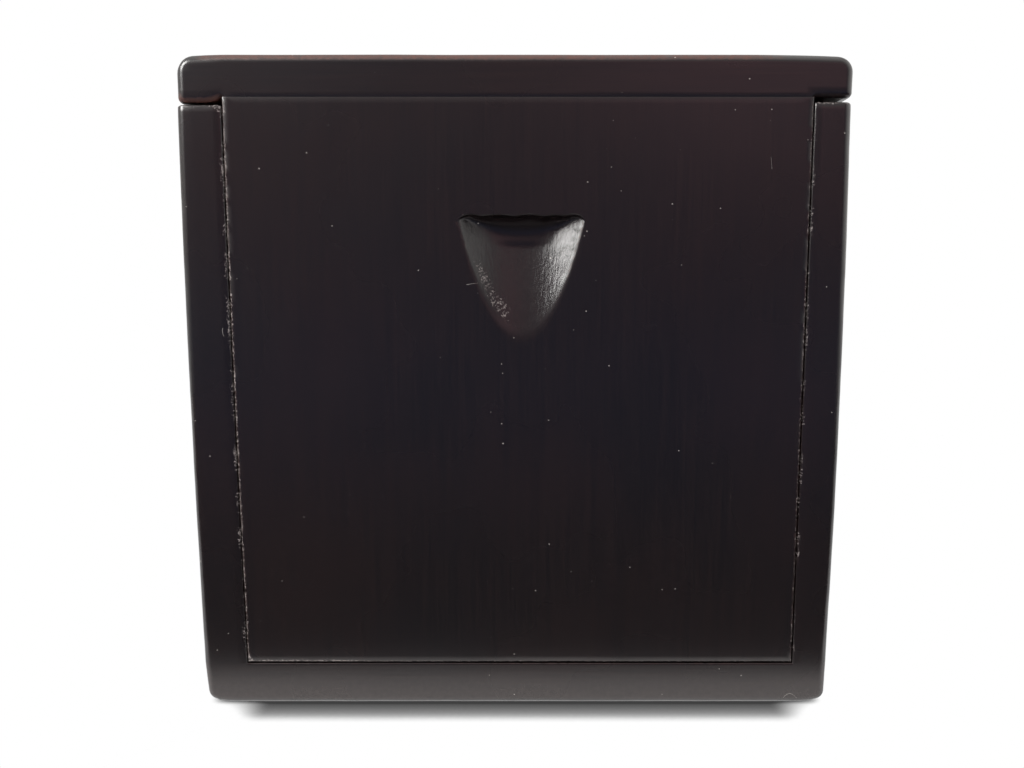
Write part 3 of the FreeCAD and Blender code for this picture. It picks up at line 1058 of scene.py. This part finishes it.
class BOX_OT_front_panel(bpy.types.Operator):
    """Sliding front panel with its tongues and the thumb notch"""

    bl_idname = "box.front_panel"
    bl_label = "Front Panel"

    def execute(self, context):
        sizes = context.scene.box_case
        lid = context.scene.box_lid
        notch = context.scene.box_notch
        arris = lid.panel_radius
        face_low = Vector((left_high.x + lid.panel_gap, front_y, foot_high.z + lid.panel_foot_gap))
        face_high = Vector((right_low.x - lid.panel_gap, panel_high.y, top_low.z))
        piece = block("lacquered_front_panel", face_low, face_high)
        round_edges(piece, arris, 4, lambda a, b: (
            both_at(DEEP, front_y, a, b) and not both_at(UPRIGHT, face_high.z, a, b)))
        round_edges(piece, lid.hairline, 2, lambda a, b: (
            both_at(DEEP, front_y, a, b) and both_at(UPRIGHT, face_high.z, a, b)))
        combine(piece, block(
            "tongues", (panel_low.x, tongue_front(), panel_low.z), panel_high), "UNION")
        depth_at, head_at, places = notch_shape(notch, face_low.z)
        combine(piece, self.notch_tool(notch, depth_at, head_at, places), "DIFFERENCE")
        bore_for(piece, "lid_pegs")
        slice_beside(piece, ACROSS, face_low, face_high, arris, arris)
        slice_beside(piece, UPRIGHT, face_low, face_high, arris, lid.hairline)
        slice_evenly(piece, face_low, face_high, ((ACROSS, 1.1 * MM), (UPRIGHT, 1.1 * MM)))
        taper_seam(piece, sizes, face_low.x, lambda p: p.y < tongue_front() - 0.01 * MM)
        plane_by_hand(piece, sizes)
        rub_edges(piece)

        def depth_near(p):
            """Depth of the notch at a point of the panel's front, and none at its back."""
            in_front = p.y < panel_high.y - 0.5 * MM
            return depth_at(p.x - places["middle_x"], p.z) if in_front else 0.0

        head_z = places["tip_z"] + notch.height

        def side_of(p):
            """-1 at the notch's left side and 1 at its right, at its head."""
            return (p.x - places["middle_x"]) / places["half_width"]

        def at_head(p):
            """1 on the notch's upper edge."""
            return soft_step(
                0.5 * MM, 0.15 * MM, abs(p.z - head_at(p.x - places["middle_x"])))

        def rim(p):
            """The rim is rubbed along its right side and hardly at its tip."""
            share = max(1 - abs(depth_near(p) - 0.14 * MM) / (0.12 * MM), 0)
            share *= 1 - at_head(p)
            return share * (0.25 + 0.4 * soft_step(0.3, 0.9, side_of(p)))

        def painted_glints_and_chips(p):
            """Painted glints as light specks on the notch's left wall, and a thin light line along
            its upper edge that is partly chips and partly painted highlight. The foot has light
            chips too, which also paint the highlight along that edge.
            """
            depth = depth_near(p)
            head = max(1 - abs(depth - 0.08 * MM) / (0.08 * MM), 0) * at_head(p)
            wall = soft_step(0.1 * MM, 0.4 * MM, depth) * soft_step(1.8 * MM, 1.0 * MM, depth)
            wall *= soft_step(0.0, -0.25, side_of(p)) * soft_step(head_z, head_z - 9 * MM, p.z)
            low = soft_step(0.7 * MM, 0.3 * MM, p.z - face_low.z) * soft_step(
                -12 * MM, -32 * MM, p.x)
            low *= p.y < front_y + 0.6 * MM
            return max(0.74 * head, 0.7 * wall, 0.85 * low)

        def foot(p):
            """The panel has light chips at its sides and its foot, most toward the foot's left end;
            they are also painted highlights along those edges.
            """
            low = p.z < face_low.z + MM
            sides = 0.0 if abs(p.x) < 40 * MM else 0.82 if p.x < 0 else 0.74
            return 1.0 - 0.2 * soft_step(-30 * MM, 0, p.x) if low else sides

        finish_board(
            piece, UPRIGHT, "front_panel", "lid",
            hollow=lambda p: soft_step(0.05 * MM, 0.6 * MM, depth_near(p)),
            rim=rim, rubbed=lambda p: 0.4 * (1 - at_head(p)), chips_and_painted_highlights=foot, painted_glints_and_chips=painted_glints_and_chips)
        return {"FINISHED"}

    def notch_tool(self, notch, depth_at, head_at, places):
        """A grid shaped to the hollow's surface and drawn out forward into a solid."""
        deselect_everything()
        columns, rows = 76, 84
        bpy.ops.mesh.primitive_grid_add(x_subdivisions=columns, y_subdivisions=rows, size=1)
        tool = bpy.context.object
        tool.name = "notch"
        reach = places["half_width"] + 1.5 * MM
        low = places["tip_z"] - 2 * MM
        for point in tool.data.vertices:
            x = 2 * point.co.x * reach
            # The rows lie closer together toward the head, where the cove turns
            rise = 1 - (0.5 - point.co.y) ** 1.6
            z = low + rise * (head_at(x) + notch.rim_radius - low)
            point.co = (places["middle_x"] + x, front_y + depth_at(x, z), z)
        start_editing(tool, "FACE")
        bpy.ops.mesh.select_all(action="SELECT")
        bpy.ops.mesh.extrude_region_move(
            TRANSFORM_OT_translate={"value": (0, -notch.depth - 3 * MM, 0)})
        bpy.ops.mesh.select_all(action="SELECT")
        bpy.ops.mesh.normals_make_consistent(inside=False)
        stop_editing()
        return tool


class BOX_OT_pegs(bpy.types.Operator):
    """Wooden pegs of every joint"""

    bl_idname = "box.pegs"
    bl_label = "Pegs"

    def execute(self, context):
        wood = lacquered_hardwood("lacquered_hardwood_pegs")
        for name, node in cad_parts.items():
            if name.endswith("_pegs"):
                node.data.materials.clear()
                node.data.materials.append(wood)
        return {"FINISHED"}


class BOX_OT_stage(bpy.types.Operator):
    """Floor, soft light, dark room in front, and the camera"""

    bl_idname = "box.stage"
    bl_label = "Stage"

    def execute(self, context):
        self.make_floor()
        self.make_sky(context.scene)
        self.make_room()
        self.make_table_card()
        self.make_lamps()
        self.make_camera(context.scene)
        context.scene.view_settings.view_transform = "Standard"
        return {"FINISHED"}

    def make_floor(self):
        """A white table, shaded where the box stands, that the lacquer mirrors as plain white."""
        deselect_everything()
        bpy.ops.mesh.primitive_plane_add(size=8, location=(0, 0, -0.05 * MM))
        floor = bpy.context.object
        floor.name = "floor"
        material, tree, place = new_material("white_table")
        path = add_node(tree, "ShaderNodeLightPath")
        apart = add_node(tree, "ShaderNodeSeparateXYZ", {0: place})
        aside = add_node(tree, "ShaderNodeMath", {
            0: apart.outputs["X"], 1: 0.85 * MM}, operation="SUBTRACT")
        apart_x = add_node(tree, "ShaderNodeMath", {0: aside}, operation="ABSOLUTE")
        beyond = add_node(tree, "ShaderNodeMapRange", {
            "Value": apart_x, "From Min": 44 * MM, "From Max": 53 * MM},
            interpolation_type="SMOOTHSTEP")
        shade = add_node(tree, "ShaderNodeAmbientOcclusion", {"Distance": 6 * MM}, samples=16)
        core = add_node(tree, "ShaderNodeMath", {0: shade.outputs["AO"], 1: 2.1}, operation="POWER")
        fringe = add_node(tree, "ShaderNodeMath", {
            0: shade.outputs["AO"], 1: 14.4}, operation="POWER")
        deep = add_node(tree, "ShaderNodeMath", {0: core, 1: 0.39}, operation="MULTIPLY")
        dimmed = add_node(tree, "ShaderNodeMath", {
            0: fringe, 1: 1.07, 2: deep}, operation="MULTIPLY_ADD")
        open_floor = add_node(tree, "ShaderNodeMath", {
            0: shade.outputs["AO"], 1: 1.9}, operation="MULTIPLY")
        lit = add_node(tree, "ShaderNodeMix", {
            "Factor": beyond, "A": dimmed, "B": open_floor}, data_type="FLOAT")
        seen = add_node(tree, "ShaderNodeClamp", {"Value": lit, "Min": 0.05})
        table = add_node(tree, "ShaderNodeBsdfDiffuse", {"Color": (0.8, 0.8, 0.8, 1)})
        shown = add_node(tree, "ShaderNodeEmission", {"Strength": seen})
        mirrored = add_node(tree, "ShaderNodeEmission", {"Strength": 1.0})
        first = add_node(tree, "ShaderNodeMixShader", {
            0: path.outputs["Is Glossy Ray"], 1: table, 2: mirrored})
        second = add_node(tree, "ShaderNodeMixShader", {
            0: path.outputs["Is Camera Ray"], 1: first, 2: shown})
        add_node(tree, "ShaderNodeOutputMaterial", {"Surface": second})
        floor.data.materials.append(material)

    def make_sky(self, scene):
        """White for the camera, and plain soft light from all round."""
        world = bpy.data.worlds.new("studio")
        scene.world = world
        world.use_nodes = True
        tree = world.node_tree
        tree.nodes.clear()
        path = add_node(tree, "ShaderNodeLightPath")
        plain = add_node(tree, "ShaderNodeBackground", {"Color": (1, 1, 1, 1), "Strength": 0.7})
        white = add_node(tree, "ShaderNodeBackground", {"Color": (1, 1, 1, 1), "Strength": 1.0})
        clear = add_node(tree, "ShaderNodeMath", {
            0: path.outputs["Is Camera Ray"],
            1: path.outputs["Is Transmission Ray"]}, operation="MAXIMUM")
        mixed = add_node(tree, "ShaderNodeMixShader", {0: clear, 1: plain, 2: white})
        add_node(tree, "ShaderNodeOutputWorld", {"Surface": mixed})

    def only_mirrored(self, piece, material):
        """Makes a piece of the stage that shows in the lacquer's gloss and nowhere else."""
        piece.data.materials.append(material)
        piece.visible_camera = False
        piece.visible_diffuse = False
        piece.visible_transmission = False
        piece.visible_shadow = False

    def make_room(self):
        """The room that the lacquer mirrors: dim behind the camera, light to the sides."""
        deselect_everything()
        bpy.ops.mesh.primitive_uv_sphere_add(segments=64, ring_count=32, radius=3)
        room = bpy.context.object
        room.name = "room"
        material, tree, place = new_material("painted_room")
        heading = add_node(tree, "ShaderNodeVectorMath", {0: place}, operation="NORMALIZE")
        apart = add_node(tree, "ShaderNodeSeparateXYZ", {0: heading})
        rise = add_node(tree, "ShaderNodeMapRange", {
            "Value": apart.outputs["Z"], "From Min": 0.0, "From Max": 0.25},
            interpolation_type="SMOOTHSTEP")
        aside = add_node(tree, "ShaderNodeMapRange", {
            "Value": apart.outputs["X"], "From Min": -0.35, "From Max": 0.4},
            interpolation_type="SMOOTHSTEP")
        level = add_node(tree, "ShaderNodeMix", {
            "Factor": aside, "A": linear("#5d5a70"), "B": linear("#3c445e")}, data_type="RGBA")
        lower = add_node(tree, "ShaderNodeMix", {
            "Factor": rise, "A": level, "B": linear("#7f6c79")}, data_type="RGBA")
        high = add_node(tree, "ShaderNodeMapRange", {
            "Value": apart.outputs["Z"], "From Min": 0.2, "From Max": 0.9},
            interpolation_type="SMOOTHSTEP")
        front = add_node(tree, "ShaderNodeMix", {
            "Factor": high, "A": lower, "B": linear("#f0e6e8")}, data_type="RGBA")
        forward = add_node(tree, "ShaderNodeMapRange", {
            "Value": apart.outputs["Y"], "From Min": -0.82, "From Max": -0.45},
            interpolation_type="SMOOTHSTEP")
        around = add_node(tree, "ShaderNodeMix", {
            "Factor": forward, "A": front, "B": linear("#e6e4e2")}, data_type="RGBA")
        # A pinkish light patch of the room, in front of the box and up to its right
        toward = Vector((0.2865, -0.882, 0.3746)).normalized()
        facing = add_node(tree, "ShaderNodeVectorMath", {
            0: heading, 1: toward}, operation="DOT_PRODUCT")
        patch = add_node(tree, "ShaderNodeMapRange", {
            "Value": facing.outputs["Value"], "From Min": 0.97, "From Max": 0.998},
            interpolation_type="SMOOTHSTEP")
        lit = add_node(tree, "ShaderNodeMix", {
            "Factor": patch, "A": around, "B": linear("#f4bcc8")}, data_type="RGBA")
        right = add_node(tree, "ShaderNodeMapRange", {
            "Value": apart.outputs["X"], "From Min": 0.45, "From Max": 0.9,
            "To Min": 1.0, "To Max": 1.7},
            interpolation_type="SMOOTHSTEP")
        glow = add_node(tree, "ShaderNodeEmission", {"Color": lit, "Strength": right})
        add_node(tree, "ShaderNodeOutputMaterial", {"Surface": glow})
        self.only_mirrored(room, material)

    def make_table_card(self):
        """A card on the table in front of the picture, which glows and shows only in the lacquer's
        gloss: a painted reflection, bright near the box like the lit table, and painted shade
        beyond.
        """
        width = 1800 * MM
        length = 2800 * MM
        deselect_everything()
        bpy.ops.mesh.primitive_plane_add(
            size=1, location=(0, front_y - length / 2, 0.3 * MM))
        card = bpy.context.object
        card.name = "table_card"
        card.scale = (width, length, 1)
        bpy.ops.object.transform_apply(location=True, rotation=True, scale=True)
        material, tree, place = new_material("shaded_card")
        apart = add_node(tree, "ShaderNodeSeparateXYZ", {0: place})
        away = add_node(tree, "ShaderNodeMath", {
            0: front_y, 1: apart.outputs["Y"]}, operation="SUBTRACT")
        near = add_node(tree, "ShaderNodeMapRange", {
            "Value": away, "From Min": 6.5 * MM, "From Max": 17.2 * MM,
            "To Min": 1.45, "To Max": 0.0},
            interpolation_type="SMOOTHSTEP")
        far = add_node(tree, "ShaderNodeMapRange", {
            "Value": away, "From Min": 60 * MM, "From Max": 400 * MM})
        shaded = add_node(tree, "ShaderNodeMix", {
            "Factor": far, "A": linear("#4e4b50"), "B": linear("#5d668c")}, data_type="RGBA")
        white = add_node(tree, "ShaderNodeEmission", {
            "Color": (1, 0.955, 0.94, 1), "Strength": near})
        dark = add_node(tree, "ShaderNodeEmission", {"Color": shaded})
        glow = add_node(tree, "ShaderNodeAddShader", {0: white, 1: dark})
        add_node(tree, "ShaderNodeOutputMaterial", {"Surface": glow})
        self.only_mirrored(card, material)

    def make_lamps(self):
        """A window up to the left, and a wide soft light over the box."""
        lamps = (
            ("window_left", (-0.48, -0.27, 0.43), 0.3, 6.2, (1, 0.99, 0.97)),
            ("ceiling", (0.05, -0.1, 0.9), 1.0, 1.9, (1, 0.97, 0.95)),
        )
        for name, place, size, power, colour in lamps:
            deselect_everything()
            bpy.ops.object.light_add(type="AREA", location=place)
            lamp = bpy.context.object
            lamp.name = name
            lamp.data.size = size
            lamp.data.energy = power
            lamp.data.color = colour
            aim = Vector((0, 0, 0.055)) - Vector(place)
            lamp.rotation_euler = aim.to_track_quat("-Z", "Y").to_euler()

    def make_camera(self, scene):
        """A wide lens, low and close in front of the box."""
        stage = scene.box_stage
        place = (stage.camera_side, front_y - stage.camera_distance, stage.camera_height)
        bpy.ops.object.camera_add(
            location=place, rotation=(math.radians(90) - stage.camera_pitch, 0, 0))
        camera = bpy.context.object
        camera.name = "camera"
        camera.data.lens = stage.camera_lens
        camera.data.sensor_width = 36
        camera.data.clip_start = 5 * MM
        camera.data.clip_end = 30
        scene.camera = camera


class BOX_PT_panel(bpy.types.Panel):
    """Lists the box's pieces and their sizes"""

    bl_label = "Lacquered Box"
    bl_space_type = "VIEW_3D"
    bl_region_type = "UI"
    bl_category = "Lacquered Box"

    def draw(self, context):
        for operator in OPERATORS:
            self.layout.operator(operator.bl_idname)
        for name in GROUPS:
            group = getattr(context.scene, name)
            column = self.layout.column(align=True)
            for prop in group.bl_rna.properties:
                if prop.identifier not in ("rna_type", "name"):
                    column.prop(group, prop.identifier)


GROUPS = {
    "box_case": CaseSizes,
    "box_lid": LidSizes,
    "box_notch": NotchSizes,
    "box_colours": FinishColours,
    "box_stage": StageSizes,
}
OPERATORS = (
    BOX_OT_stage,
    BOX_OT_bottom_board,
    BOX_OT_side_boards,
    BOX_OT_back_board,
    BOX_OT_top_board,
    BOX_OT_front_panel,
    BOX_OT_pegs,
)


def register():
    for group in GROUPS.values():
        bpy.utils.register_class(group)
    for operator in OPERATORS:
        bpy.utils.register_class(operator)
    bpy.utils.register_class(BOX_PT_panel)
    for name, group in GROUPS.items():
        setattr(bpy.types.Scene, name, PointerProperty(type=group))


def unregister():
    for name in GROUPS:
        delattr(bpy.types.Scene, name)
    bpy.utils.unregister_class(BOX_PT_panel)
    for operator in reversed(OPERATORS):
        bpy.utils.unregister_class(operator)
    for group in reversed(GROUPS.values()):
        bpy.utils.unregister_class(group)


def main():
    register()
    bpy.ops.box.stage()
    bpy.ops.box.bottom_board()
    bpy.ops.box.side_boards()
    bpy.ops.box.back_board()
    bpy.ops.box.top_board()
    bpy.ops.box.front_panel()
    bpy.ops.box.pegs()


if __name__ == "__main__":
    main()
